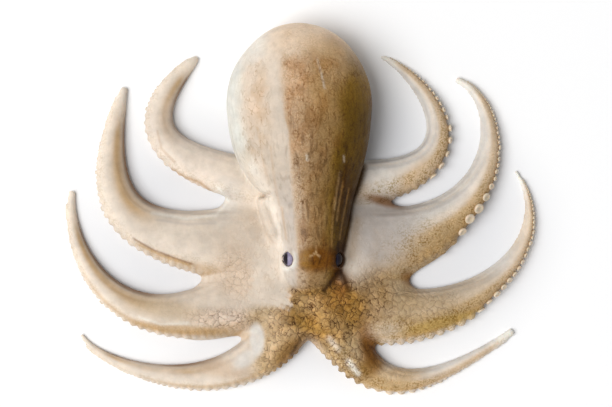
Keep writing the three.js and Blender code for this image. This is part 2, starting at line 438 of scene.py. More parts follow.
def web_rim(angle):
    """Distance from the crown to the web's rim: shortest at each notch, with a round lobe between."""
    notches = sorted((math.atan2(y, x), math.hypot(x, y), lobe) for x, y, lobe in WEB_NOTCHES)
    first, last = notches[0], notches[-1]
    ring = [(last[0] - math.tau, *last[1:]), *notches, (first[0] + math.tau, *first[1:])]
    rim = np.zeros_like(angle)
    for (a0, r0, lobe), (a1, r1, _) in zip(ring, ring[1:]):
        share = (angle - a0) / (a1 - a0)
        inside = (share >= 0) & (share <= 1)
        value = r0 + (r1 - r0) * share + lobe * (1 - np.cos(math.tau * share)) / 2
        rim = np.where(inside, value, rim)
    return rim


def join_web(grid):
    field, x, y, z = grid.whole()
    reach = np.hypot(x, y)
    rim = web_rim(np.arctan2(y, x))
    ring = np.minimum(reach / rim, 1)
    top = WEB_RIM_THICKNESS + (WEB_CROWN_HEIGHT - WEB_RIM_THICKNESS) * (1 - ring**2)
    sheet = smooth_max(z - top, 0.9 * (reach - rim), 2.2)
    off_table = 0.9 * ramp(reach, 20, 40) * ramp(np.abs(x + 4), 26, 34)
    field[:] = smooth_max(sheet, off_table - z, 1.4)


def body_section(y):
    """How far past an end a place along the body lies, and half width, centre and half height there."""
    inner = np.clip(y, HEAD_Y, MANTLE_Y)
    knots = (BODY_HALF_WIDTH, BODY_CENTRE_X, BODY_CENTRE_Z, BODY_ROUNDNESS)
    half_width, centre_x, centre_z, roundness = (curve_through(inner, BODY_Y, v) for v in knots)
    centre_z = centre_z - 7 * ramp(HEAD_Y - y, 0, HEAD_LENGTH)
    centre_z = centre_z - 3 * ramp(y, MANTLE_Y, MANTLE_Y + MANTLE_LENGTH)
    end = (y - inner) / np.where(y > MANTLE_Y, MANTLE_LENGTH, HEAD_LENGTH)
    return end, half_width, centre_x, centre_z, half_width * roundness


def flap_distance(x, y, z):
    """A leaf of skin: flattened balls strung along the neck."""
    gap = np.inf
    for a, b in zip(FLAP, FLAP[1:]):
        span = np.subtract(b, a)
        offset = (x - a[0], y - a[1], (z - a[2]) / FLAP_HEIGHT)
        t = np.clip((offset[0] * span[0] + offset[1] * span[1]) / (span[:2] ** 2).sum(), 0, 1)
        radius = a[3] + span[3] * t
        away = [o - t * d for o, d in zip(offset, span)]
        gap = np.minimum(gap, np.sqrt(sum(v**2 for v in away)) - radius)
    return gap


def join_body(grid):
    field, x, y, z = grid.near(*BODY_REACH)
    end, half_width, centre_x, centre_z, half_height = body_section(y)
    offsets = (x - centre_x, z - centre_z, end * half_width)
    body = oval_distance(offsets, (half_width, half_height, half_width))
    body = smooth_min(body, flap_distance(x, y, z), 1.2)
    body = body + 2.4 * stroke(x, y, CLEFT, 0.9)
    for eye in EYES:
        facing = unit(eye["facing"])
        mound = np.array(eye["at"]) - (MOUND_RADIUS + MOUND_SINK) * facing
        body = smooth_min(body, distance_from(mound, x, y, z) - MOUND_RADIUS, 2.5)
        ring = np.array(eye["at"]) - LID_DEPTH * facing
        dx, dy, dz = x - ring[0], (y - ring[1]) / LID_LENGTH, z - ring[2]
        height = dx * facing[0] + dy * facing[1] + dz * facing[2]
        spread = np.sqrt(np.maximum(dx**2 + dy**2 + dz**2 - height**2, 0))
        body = smooth_min(body, np.hypot(spread - LID_RING, height) - LID_THICKNESS, 0.8)
    blend = 6.0 - 4.8 * ramp(y, -6, 22)
    field[:] = smooth_min(field, body, blend)


# Creases and swellings in plan: line, half width, height outwards.
CREASES = [
    ([(12.7, -2.4), (9.5, -6.5), (6.4, -10.5)], 0.9, -0.4),
    ([(13.6, -2.4), (15.6, -6.5), (16.8, -10.5)], 0.9, -0.4),
    ([(2.6, 19), (2.4, 12), (2.6, 6.5)], 0.7, -0.25),
    ([(-9.4, 52), (-9.1, 41.7), (-7.5, 22.7), (-6.6, 9.6)], 0.9, -0.3),
    ([(-18, 56), (-17, 40), (-13, 22), (-11.5, 10)], 1.2, -0.3),
    ([(9, 50), (8.4, 34), (7.6, 18)], 1.0, -0.3),
    ([(14.5, 44), (13.2, 30), (11.6, 16)], 0.9, -0.35),
    ([(17.6, 40), (15.4, 27), (13.4, 14)], 0.7, -0.3),
    ([(3.0, 90), (6.4, 76)], 0.7, 0.25),
]


def slack(x, y):
    """Soft unevenness of flesh that lies slack, about a millimetre either way."""
    wave = np.sin(x / 8.3 + 0.9 * np.sin(y / 17 + 1)) * np.sin(y / 11.7 + 0.4 + 0.8 * np.sin(x / 21))
    return 0.55 * wave + 0.3 * np.sin(x / 4.9 + 2.1) * np.sin(y / 6.1 + 0.7)


def add_relief(grid):
    field, x, y, z = grid.whole()
    relief = 0.6 * slack(x, y)
    for line, width, height in CREASES:
        relief = relief + height * stroke(x, y, line, width)
    field -= relief * ramp(z, 2, 9)


def cut_at_table(grid):
    field, x, y, z = grid.whole()
    field[:] = smooth_max(field, 0.1 - z, 0.5)


def eye_centre(eye):
    return np.array(eye["at"]) - EYE_SINK * unit(eye["facing"])


def open_sockets(grid):
    for eye in EYES:
        centre = eye_centre(eye)
        field, x, y, z = grid.near(centre - 2.5 * EYE_RADIUS, centre + 2.5 * EYE_RADIUS)
        field[:] = smooth_max(field, EYE_RADIUS + EYE_GAP - distance_from(centre, x, y, z), 0.4)


def skin_surface():
    low, high = (np.array(corner) / MM for corner in CAD_BOX)
    grid = Grid(low - (4, 4, 3), high + 4)
    join_web(grid)
    for arm in arms:
        join_arm(grid, arm)
    join_body(grid)
    add_relief(grid)
    for arm in arms:
        join_lumps(grid, arm)
    cut_at_table(grid)
    open_sockets(grid)
    return grid.surface()


# ---- Where the colours lie ----
# The skin's colours, written as screen values from 0 to 255; some also serve for painted shade and
# highlights.

MILK = (238, 236, 228)
CREAM = (228, 214, 198)
PEACH = (238, 212, 184)
BLUSH = (232, 217, 203)
PALE = (216, 202, 186)
CLEAR = (214, 209, 202)
HAZE = (204, 189, 172)
MIST = (211, 209, 200)
GREY = (178, 169, 162)
LATTE = (214, 188, 156)
ROSE = (218, 182, 146)
TAN = (192, 160, 126)
SAND = (208, 176, 130)
STRAW = (192, 158, 84)
OCHRE = (186, 146, 88)
KHAKI = (180, 152, 110)
UMBER = (148, 116, 70)
BRONZE = (158, 119, 58)
GOLD = (154, 114, 50)
RUST = (132, 74, 22)
BROWN = (124, 78, 18)
OLIVE = (138, 104, 32)
DEEP = (102, 74, 8)
DARK = (62, 34, 4)


def linear(colour):
    c = np.array(colour, float) / 255
    return np.where(c <= 0.04045, c / 12.92, ((c + 0.055) / 1.055) ** 2.4)


class Coat:
    """The colour of each point of the skin, painted over in turn."""

    def __init__(self, count, colour):
        self.tint = np.tile(linear(colour), (count, 1))

    def cover(self, tint, amount):
        amount = np.clip(amount, 0, 1)[:, None]
        self.tint = self.tint * (1 - amount) + tint * amount

    def add(self, colour, amount):
        self.cover(linear(colour), amount)


class Spots:
    """Where each point of the skin lies on the arms and on the body."""

    def __init__(self, points):
        self.x, self.y, self.z = points.T
        total = 0
        sums = dict(along=0, side=0, edge=0, right=0, ribs=0, bared=0)
        for arm in arms:
            along, out, past = arm.locate(self.x, self.y)
            w = arm.half_width(along)
            weight = 1 / (np.hypot(out, past) / w + 0.02) ** 8
            total = total + weight
            sums["along"] += weight * along
            sums["side"] += weight * out / w
            sums["edge"] += weight * (out + w)
            sums["right"] += weight * (arm.outward > 0)
            sums["ribs"] += weight * arm.ribs(along, out / w)
            sums["bared"] += weight * (arm.bared(along) if max(arm.seat) > 0 else 0)
        for name, value in sums.items():
            setattr(self, name, value / total)
        self.left = 1 - self.right
        self.free = ramp(np.hypot(self.x, self.y), 26, 46)
        end, half_width, centre_x, centre_z, half_height = body_section(self.y)
        self.turn = (self.x - centre_x) / half_width
        rise = (self.z - centre_z) / half_height
        reach = np.sqrt(self.turn**2 + rise**2 + end**2)
        self.body = fade(reach, 1.04, 1.16)
        for eye in EYES:
            away = np.linalg.norm(points - eye["at"], axis=1)
            self.body = np.maximum(self.body, fade(away, 4.5, 6.5))


def arm_coat(s):
    coat = Coat(len(s.x), PALE)
    left, right = s.left * s.free, s.right * s.free
    middle = ramp(s.along, 0.42, 0.6) * fade(s.along, 0.84, 0.93)
    coat.add(CREAM, 0.9 * left * ramp(s.side, 0.1, 0.6))
    coat.add(OCHRE, 0.75 * left * middle * bell(s.side, -0.45, 0.35))
    lower_rim = left * bell(s.side, 0.78, 0.16) * fade(s.y, -5, 15)
    coat.add(OCHRE, 0.5 * lower_rim * fade(s.along, 0.6, 0.85))
    # Painted shade: a brown line down the inner edge of the left arms, the side turned from the light.
    coat.add(BROWN, 0.8 * left * ramp(-s.side, 0.76, 0.94) * ramp(s.along, 0.38, 0.55))
    coat.add(CLEAR, 0.9 * right * fade(s.side, -0.45, 0.1))
    coat.add(CREAM, 0.7 * right * bell(s.side, -0.15, 0.22))
    speckled = right * ramp(s.side, -0.15, 0.25)
    low = fade(s.along, 0.45, 0.7)
    first = ramp(s.y - 0.35 * s.x, 12, 24)
    coat.add(LATTE, 0.9 * speckled)
    coat.add(SAND, 0.7 * speckled * low * (1 - 0.6 * first))
    coat.add(KHAKI, 0.6 * speckled * low * bell(s.side, 0.5, 0.3) * (1 - first))
    ochre = bell(s.side, 0.75, 0.2) * fade(s.along, 0.5, 0.85) * (1 - 0.5 * first)
    coat.add(OCHRE, 0.6 * speckled * ochre)
    beyond = fade(s.along, 0.55, 0.8)
    for place, colour, amount in ((1.4, GREY, 0.55), (2.8, CREAM, 0.6), (4.3, GREY, 0.45)):
        lines = s.free * bell(s.edge, place, 0.55) * beyond
        coat.add(colour, amount * lines * (0.5 + 0.5 * s.right))
    # Painted shade between the lumps over the suckers: ochre in the dips, and less cream on the front
    # scallops there.
    gap_shade = np.maximum(-s.ribs, 0)
    coat.add(OCHRE, gap_shade * (0.15 + 0.3 * fade(s.along, 0.4, 0.6)))
    scallops = right * ramp(s.side, 0.78, 0.94) * (1 - s.bared) * fade(s.y, -10, 2)
    coat.add(CREAM, scallops * (0.75 - 0.6 * gap_shade))
    # Painted shade: dark along the outer edge of the right arms where the suckers stand clear, darkest
    # between them.
    rim = s.bared * ramp(s.side, 0.7, 0.88) * fade(s.along, 0.75, 0.9)
    coat.add(DARK, rim * (0.4 + 0.5 * gap_shade))
    coat.add(MILK, 0.8 * ramp(s.along, 0.88, 0.98))
    coat.add(PEACH, 0.4 * left * ramp(s.along, 0.86, 0.94))
    return coat


# Zones of the web, in painting order: colour, amount, strength of the dark network, centre, half
# axes, degrees turned and softness of the edge.
WEB_ZONES = [
    (BLUSH, 0.4, 0, (-58, 52), (17, 26), 35, 0.5),
    (HAZE, 0.7, 0, (-33, 16), (16, 14), 0, 0.6),
    (TAN, 0.45, 0.35, (-33, -4), (9, 13), 12, 0.7),
    (HAZE, 0.6, 0, (-52, -15), (14, 6), -10, 0.6),
    (KHAKI, 0.5, 0.15, (-66, -19), (17, 4.5), -10, 0.6),
    (GREY, 0.9, 0, (32, 17), (16, 19), 0, 0.5),
    (KHAKI, 0.4, 0.3, (54, 8), (16, 9), 40, 0.6),
    (KHAKI, 0.85, 0.35, (38, -12), (13, 10), -15, 0.6),
    (KHAKI, 0.5, 0.2, (64, -13), (20, 6), 18, 0.6),
    (KHAKI, 0.6, 0.4, (50, -21), (18, 8), 12, 0.5),
    (STRAW, 0.7, 0.3, (60, -25), (20, 2.6), 14, 0.6),
    (TAN, 0.45, 0.5, (-36, -24), (17, 5), -4, 0.5),
    (KHAKI, 0.85, 0.5, (-17, -24), (11, 6), -12, 0.4),
    (OCHRE, 0.6, 0.2, (-55, -28.5), (28, 2.2), -6, 0.6),
    (SAND, 0.9, 0.6, (-15, -38), (9.5, 14), -28, 0.45),
    (GOLD, 0.75, 0.5, (-9.5, -38.5), (5, 11), -38, 0.6),
    (BROWN, 0.45, 0.5, (-8, -37.5), (2.6, 9), -38, 0.6),
    (TAN, 0.5, 0.1, (-38, -46), (12, 4), -10, 0.6),
    (CREAM, 0.6, 0, (-71, -47), (15, 3.5), -12, 0.6),
    (LATTE, 0.9, 0.1, (51, 40), (10, 6), 40, 0.6),
    (CLEAR, 0.6, 0, (31, 38), (8, 5), 0, 0.6),
    (LATTE, 0.45, 0, (95, 18), (5, 14), -12, 0.6),
    (KHAKI, 0.95, 0.7, (17, -38), (12, 17), 28, 0.45),
    (SAND, 0.8, 0.3, (36, -50), (14, 5), 10, 0.6),
    (GOLD, 0.8, 0.4, (27, -45), (9, 4), 28, 0.6),
    (BRONZE, 1.0, 1.0, (7, -19), (20, 15), 0, 0.3),
    (SAND, 0.4, 1.0, (-1, -15), (7, 6), 0, 0.6),
    (BROWN, 0.35, 1.0, (10.5, -14.5), (7, 6), 0, 0.6),
    (SAND, 0.25, 1.0, (11, -26), (9, 4), -35, 0.6),
    (GOLD, 0.6, 0.7, (28, -14), (8, 12), 0, 0.6),
    (BROWN, 0.95, 0.4, (26.5, -36), (4.2, 10), 14, 0.6),
    (PALE, 0.5, 0.3, (34, -29), (7, 4), 0, 0.8),
    (CLEAR, 0.9, 0, (-23.6, -32.5), (3.3, 7), 4, 0.28),
    (CLEAR, 0.7, 0, (-28, -41), (7, 3), 36, 0.45),
    (CLEAR, 0.6, 0, (-38, 28), (6, 9), -20, 0.7),
    (BROWN, 0.8, 0, (33, 28.6), (8, 2), -16, 0.6),
    (BROWN, 0.7, 0, (44.5, -6), (4, 3), -40, 0.6),
]

# Patch of plain pale skin in front of the right eye.
PALE_PATCH = [(-24, 3), (-14, -1), (-11.6, -6), (-10.4, -10.7), (-8.2, -18.6), (-17.8, -16.8)]
PALE_PATCH += [(-27, -14.5)]

# Thin lines on the skin: colour, amount, half width, places.
LINES = [
    (BROWN, 0.7, 0.5, [(-78.5, 12), (-70, 7.2), (-60, 3.4), (-52, 0.6)]),
    (OCHRE, 0.6, 0.6, [(-76.5, 9.5), (-67, 5), (-54, 0.4)]),
    (MILK, 0.5, 0.8, [(-70, 23.5), (-55, 21), (-42, 22.5), (-36.5, 29), (-41, 35)]),
    (GREY, 0.45, 0.7, [(-68, 20.5), (-54, 18.4), (-42, 19.2)]),
    (TAN, 0.8, 0.7, [(-62, 43), (-56, 39.6), (-49, 37), (-44, 33)]),
    (TAN, 0.5, 0.5, [(-68, 60), (-66, 52), (-60, 46)]),
    (MILK, 0.5, 0.6, [(-76, -23), (-66, -26), (-54, -25.4)]),
    # Painted shade on the web beside the neck's right side:
    (UMBER, 0.4, 2.6, [(18, 5), (19.5, 14), (20.5, 20)]),
    (DARK, 0.6, 0.9, [(-3.6, -31), (-5.6, -34.5), (-8.2, -39.5)]),
    # The next two are painted highlights: glints along the ridge of the front right arm.
    (CREAM, 0.7, 1.3, [(8.6, -32.4), (10.4, -34.5), (12.2, -37)]),
    (MILK, 0.75, 1.4, [(17.4, -42.6), (19.2, -45.5), (21.2, -48)]),
]


def inside(x, y, outline):
    """Distance in plan inside a closed outline, negative outside."""
    odd = np.zeros(x.shape, bool)
    for (ax, ay), (bx, by) in zip(outline, outline[1:] + outline[:1]):
        if ay != by:
            odd ^= ((ay > y) != (by > y)) & (x < ax + (bx - ax) * (y - ay) / (by - ay))
    return line_gap(x, y, outline + outline[:1]) * np.where(odd, 1, -1)


def web_colours(s):
    """The coat of the arms and the web, and the strength of the dark network."""
    coat = arm_coat(s)
    net = np.zeros(len(s.x))
    for colour, amount, strength, at, size, turn, soft in WEB_ZONES:
        zone = patch(s.x, s.y, at, size, turn, soft)
        coat.add(colour, amount * zone)
        net = net + (strength - net) * zone
    ragged = 0.8 * np.sin(0.9 * s.x + 1.7 * s.y) + 0.6 * np.sin(2.1 * s.x - 1.1 * s.y)
    pale = ramp(inside(s.x, s.y, PALE_PATCH) + ragged, -1.2, 1.4)
    coat.add(PALE, 0.9 * pale)
    coat.add(HAZE, 0.4 * pale)
    for colour, amount, width, line in LINES:
        coat.add(colour, amount * stroke(s.x, s.y, line, width))
    return coat, net * (1 - pale)


# The right and left edges of the smooth pale band on the mantle, which is a painted reflection, and the
# left edge of its dark side, as x for some y.
BAND_Y = [9.6, 22.7, 41.7, 58.5, 64.1, 78.7, 90.8, 104]
SHEEN_BAND_RIGHT = [-6.0, -6.9, -8.6, -9.4, -11.1, -12.6, -13.4, -12]
SHEEN_BAND_LEFT = [-11.5, -13.5, -17.3, -18.2, -19, -19.5, -20, -18]
DARK_SIDE = [5.2, 4.8, 7, 9.8, 10.8, 11.5, 14, 20]

# Lengthwise folds of the mantle and neck: colour, amount, half width, places. The brown strokes darken
# the folds, partly as painted shade, and the sand and ochre strokes down the neck's dark right side are
# painted highlights between them.
FOLDS = [
    (BROWN, 0.5, 0.35, [(2.4, 19), (2.3, 6.5)]),
    (BROWN, 0.35, 0.4, [(-3.4, 30), (-3.0, 18), (-3.2, 9)]),
    (BROWN, 0.4, 0.4, [(5.6, 34), (5.2, 22), (5.8, 9)]),
    (BROWN, 0.4, 0.4, [(0.2, 40), (-0.4, 26)]),
    (SAND, 0.45, 0.4, [(12.8, 41), (11.5, 33), (10.6, 25)]),
    (OCHRE, 0.6, 0.4, [(14.2, 37), (12.8, 29), (11.6, 20)]),
    (OCHRE, 0.5, 0.4, [(16.8, 34), (14.6, 22), (13, 12)]),
    (OCHRE, 0.5, 0.5, [(10.6, 30), (9.6, 20), (9.4, 9)]),
    (TAN, 0.5, 0.5, [(-12.4, 26), (-10.4, 12)]),
    (TAN, 0.35, 0.5, [(-17, 52), (-15.4, 38), (-13.4, 27)]),
    (TAN, 0.3, 0.5, [(-22.5, 60), (-20.4, 46), (-18, 38)]),
    (PALE, 0.8, 0.4, [(3.0, 90), (4.4, 85), (6.2, 77)]),
    (MILK, 0.6, 0.5, [(-1.3, 48.2), (-1.2, 46.4)]),
    (PALE, 0.5, 0.4, [(14.5, 48.2), (14.6, 45.8)]),
    (SAND, 0.8, 0.35, [(-0.1, 4.7), (1.5, 5.4), (2.4, 6.5), (3.2, 5.4), (4.4, 4.5)]),
    (SAND, 0.4, 0.3, [(2.3, 12), (2.4, 6.5)]),
    (DARK, 0.7, 0.45, [(0.8, 4), (0.6, 1.6)]),
    (DARK, 0.6, 0.45, [(4.0, 4), (4.1, 1.4)]),
]


def mantle_colours(s):
    """The coat of the mantle and head, and how streaked they are."""
    right = s.x - np.interp(s.y, BAND_Y, SHEEN_BAND_RIGHT)
    left = s.x - np.interp(s.y, BAND_Y, SHEEN_BAND_LEFT)
    shaded = s.x - np.interp(s.y, BAND_Y, DARK_SIDE)
    neck = fade(s.y, 36, 56)
    top = ramp(s.y, 86, 97)
    coat = Coat(len(s.x), HAZE)
    blotch = np.sin(s.x / 2.9 + 0.7 * np.sin(s.y / 5.3)) * np.sin(s.y / 4.1 + 0.8 * np.sin(s.x / 3.7 + 2))
    coat.add(CREAM, 0.5 * ramp(s.y, 62, 80))
    raised = 0.3 + 0.7 * ramp(s.z, 2, 16)
    coat.add(MIST, raised * ramp(-s.turn + 0.04 * blotch, 0.66, 0.88))
    coat.add(CREAM, 0.8 * ramp(-s.turn, 0.5, 0.85) * neck)
    coat.add(ROSE, 0.35 * patch(s.x, s.y, (-24, 75), (6, 19), 0, 0.7) * (0.6 + 0.4 * blotch))
    coat.add(GREY, 0.5 * ramp(left, -2, 2) * fade(s.y, 26, 48))
    # The tan starts at the pale band's right edge; the band left pale is a painted reflection.
    upper = ramp(s.y, 60, 84)
    edge = 0.9 + 1.6 * neck + 4 * upper + 2 * top
    beyond = ramp(right, -0.5 * edge, edge)
    coat.add(TAN, beyond * (1 - 0.8 * top) * (1 - 0.35 * upper))
    coat.add(ROSE, 0.8 * beyond * patch(s.x, s.y, (-6, 81), (10, 12), 0, 0.7))
    dusk = ramp(s.x + 1.5 * blotch + 2.5 * neck, -8, 7) * (1 - 0.85 * ramp(s.y, 66, 90))
    coat.add(UMBER, 0.85 * beyond * dusk)
    coat.add(HAZE, 0.35 * bell(right, 2.5, 2) * neck)
    coat.add(CREAM, 0.8 * top)
    coat.add(PEACH, 0.85 * top * ramp(s.x, -24, -10))
    coat.add(MILK, 0.6 * ramp(s.y, 82, 97) * ramp(-s.x, 16, 25))
    coat.add(OCHRE, 0.65 * patch(s.x + blotch, s.y, (8, 82), (9, 16), -12, 0.6))
    coat.add(OCHRE, 0.4 * patch(s.x, s.y, (6, 94), (10, 7), -15, 0.6))
    below = fade(s.y, 78, 92)
    olive = ramp(shaded + 1.4 * blotch, -3, 6) * (0.55 + 0.45 * below) * fade(s.y, 92, 103)
    coat.add(OLIVE, olive)
    coat.add(DEEP, 0.9 * ramp(shaded + blotch, 0, 7) * fade(s.y, 62, 82))
    # Dark down the neck's right side, partly the skin's own colour and partly painted shade; then painted
    # shade along the body's right edge, where it turns from the light.
    dark = ramp(shaded, 2, 8) * fade(s.y, 30, 52) * (0.5 + 0.5 * ramp(s.y, 14, 22))
    coat.add(DARK, 0.7 * dark)
    coat.add(DARK, 0.35 * ramp(s.turn, 0.94, 1.0) * fade(s.y, 70, 90))
    coat.add(GOLD, fade(s.y, -13, -7) * ramp(s.x, -10, -6))
    brow = patch(s.x, s.y, (3, 3.4), (8.6, 5.6), 0, 0.4) * ramp(s.x, -5.8, -4.2)
    coat.add(BROWN, brow)
    coat.add(GOLD, 0.8 * brow * fade(s.x, -3, 2))
    coat.add(DARK, 0.95 * patch(s.x, s.y, (13.6, 3), (4.2, 7.5), 0, 0.4))
    leaf = fade(flap_distance(s.x, s.y, s.z), 0.3, 1.4)
    coat.add(CREAM, 0.5 * leaf)
    for colour, amount, width, line in FOLDS:
        coat.add(colour, amount * stroke(s.x, s.y, line, width))
    return coat, ramp(right, -1, 3) * (1 - 0.7 * top)


def skin_colours(points):
    s = Spots(points)
    coat, net = web_colours(s)
    mantle, streaked = mantle_colours(s)
    coat.cover(mantle.tint, s.body)
    coat.add(RUST, 0.45 * patch(s.x, s.y, (13.4, -7), (4, 6), 0, 0.6))
    # The V below the left eye: darker skin in its creases, deepened with painted shade.
    for line, width, _ in CREASES[:2]:
        coat.add(DARK, 0.9 * stroke(s.x, s.y, line, 1.6 * width))
    front = fade(s.y, -13, -7)
    net = net * (1 - s.body * (1 - front)) + 0.25 * s.body * streaked * (1 - front)
    fading = 1 - 0.7 * ramp(s.along, 0.5, 0.75)
    speckle = s.right * s.free * ramp(s.side, -0.1, 0.3) * fading
    speckle = np.maximum(speckle, 0.5 * s.body * streaked)
    speckle = np.maximum(speckle, 0.25 * s.left * s.free * ramp(s.side, 0.3, 0.7))
    speckle = np.maximum(speckle, 0.7 * patch(s.x, s.y, (50, 8), (18, 12), 30, 0.6) * (1 - s.body))
    streaks = s.body * np.maximum(streaked, 0.35) * (1 - 0.6 * ramp(s.y, 50, 70))
    beside = patch(s.x, s.y, (-24, 66), (7, 26), 0, 0.5)
    veins = s.body * np.maximum(streaked * ramp(s.y, -4, 8), 0.7 * beside)
    veins = np.maximum(veins, 0.35 * (1 - s.free) * (1 - s.body))
    right_eye = EYES[0]["at"]
    dx, dy = s.x - right_eye[0], s.y - right_eye[1]
    lid = bell(np.hypot(dx, dy / 1.25), EYE_RADIUS, 0.8) * ramp(dx - 0.7 * dy, -1, 2)
    coat.add(MILK, 0.6 * lid)
    return dict(tint=coat.tint, net=net, speckle=speckle, streaks=streaks, veins=veins)


# ---- Meshes ----


def add_object(name, data):
    thing = bpy.data.objects.new(name, data)
    bpy.context.scene.collection.objects.link(thing)
    return thing


def make_mesh(name, points, faces, material, slot, **values):
    """A smooth-shaded piece on the part's one body, from points in millimetres."""
    mesh = bpy.data.meshes.new(name)
    mesh.from_pydata(points * MM, [], faces)
    mesh.update()
    mesh.shade_smooth()
    for key, value in values.items():
        colour = value.ndim == 2
        store = mesh.attributes.new(key, "FLOAT_COLOR" if colour else "FLOAT", "POINT")
        if colour:
            value = np.concatenate([value, np.ones((len(value), 1))], axis=1)
        store.data.foreach_set("color" if colour else "value", value.astype(np.float32).ravel())
    mesh.materials.append(material)
    piece = add_object(name, mesh)
    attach(piece, "root")
    return piece


# ---- Suckers and eyes ----


def turned(outline, sides):
    """Points and faces of an outline turned about Z, and each point's share of the way along it."""
    angles = np.arange(sides) * math.tau / sides
    points = [(r * math.cos(a), r * math.sin(a), h) for r, h in outline[:-1] for a in angles]
    points += [(0, 0, outline[-1][1]), (0, 0, outline[0][1])]
    rows = [i for i in range(len(outline) - 1) for _ in angles] + [len(outline) - 1, 0]
    top, bottom = len(points) - 2, len(points) - 1
    last = (len(outline) - 2) * sides
    faces = []
    for j in range(sides):
        k = (j + 1) % sides
        for row in range(0, last, sides):
            faces.append((row + j, row + k, row + sides + k, row + sides + j))
        faces.append((last + j, last + k, top))
        faces.append((k, j, bottom))
    return np.array(points), faces, np.array(rows) / (len(outline) - 1)


def basis(aim):
    """Two directions square to the one given, as rows with it."""
    side = unit(np.cross(aim, (0.3, 0.2, 1.0)))
    return np.array([side, np.cross(aim, side), aim])


def in_web(spot):
    """Whether a place lies so far inside the web's rim that no sucker shows there."""
    x, y = spot[:2]
    return math.hypot(x, y) < web_rim(np.array([math.atan2(y, x)]))[0] - WEB_COVER


def outer_cup(arm, along, radius, rng):
    """Place and aim of a sucker that shows along the arm's outer edge."""
    centre, across = arm.place(along)
    turn = rng.uniform(-SEAT_SPREAD, SEAT_SPREAD)
    seat = math.radians(arm.by_suckers(along, arm.seat, ROOT_SEAT) + turn)
    wide, tall = arm.outer_edge(along), BACK_HALF_HEIGHT * arm.thickness(along)
    out, rise = unit((math.cos(seat) / wide, math.sin(seat) / tall))
    stand = arm.by_suckers(along, (0.3, 0.55)) * radius
    spot = centre + across * (wide * math.cos(seat) + stand * out)
    height = BACK_MIDDLE * arm.thickness(along) + tall * math.sin(seat) + stand * rise
    return (*spot, max(height, 0.6 * radius)), unit((*(out * across), rise))


def under_cup(arm, along, radius, rng):
    """Place and aim of a sucker of the row that the arm rests on."""
    centre, across = arm.place(along + 0.5 * arm.pitch * radius / arm.length)
    spot = centre + across * 0.3 * arm.half_width(along)
    return (*spot, 0.45 * radius), unit((0.15 * across[0], 0.15 * across[1], -1))


def make_suckers(name, placer, material):
    cup, cup_faces, cup_rows = turned(CUP_OUTLINE, CUP_SIDES)
    rng = np.random.default_rng(AIM_SEED)
    points, faces = [], []
    for arm in arms:
        for along, radius in arm.cups:
            spot, aim = placer(arm, along, radius, rng)
            if placer is outer_cup and in_web(spot):
                continue
            start = len(points) * len(cup)
            points.append(cup * radius @ basis(aim) + spot)
            faces.extend(tuple(start + i for i in face) for face in cup_faces)
    hollow = np.tile(cup_rows, len(points))
    points = np.concatenate(points)
    points[:, 2] = np.maximum(points[:, 2], SUCKERS_LOWEST)
    make_mesh(name, points, faces, material, "flesh", hollow=hollow)


def make_eye(eye, material):
    """A ball whose long dark pupil lies towards the animal's right, with the iris beside it."""
    polar = np.linspace(0, math.pi, EYE_ROWS + 1)
    outline = [(math.sin(a), -math.cos(a)) for a in polar[1:-1]] + [(0, 1)]
    ball, faces, _ = turned(outline, EYE_SIDES)
    ball[-1] = (0, 0, -1)
    facing = unit(eye["facing"])
    world = ball @ basis(facing)
    along_body = world[:, 1]
    across_body = world @ unit(np.cross((0, 1, 0), facing))
    pupil = np.hypot((across_body - eye["pupil"]) / PUPIL_SIZE[0], along_body / PUPIL_SIZE[1])
    iris = np.hypot(across_body / IRIS_SIZE[0], along_body / IRIS_SIZE[1])
    points = world * EYE_RADIUS + eye_centre(eye)
    values = dict(pupil=pupil, iris=iris, shade=np.full(len(points), eye["shade"]))
    piece = make_mesh(eye["name"] + "_ball", points, faces, material, "eye", **values)
    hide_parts(eye["name"])


# ---- Materials ----

CELLS_PER_METRE = 330
FINE_CELLS_PER_METRE = 560


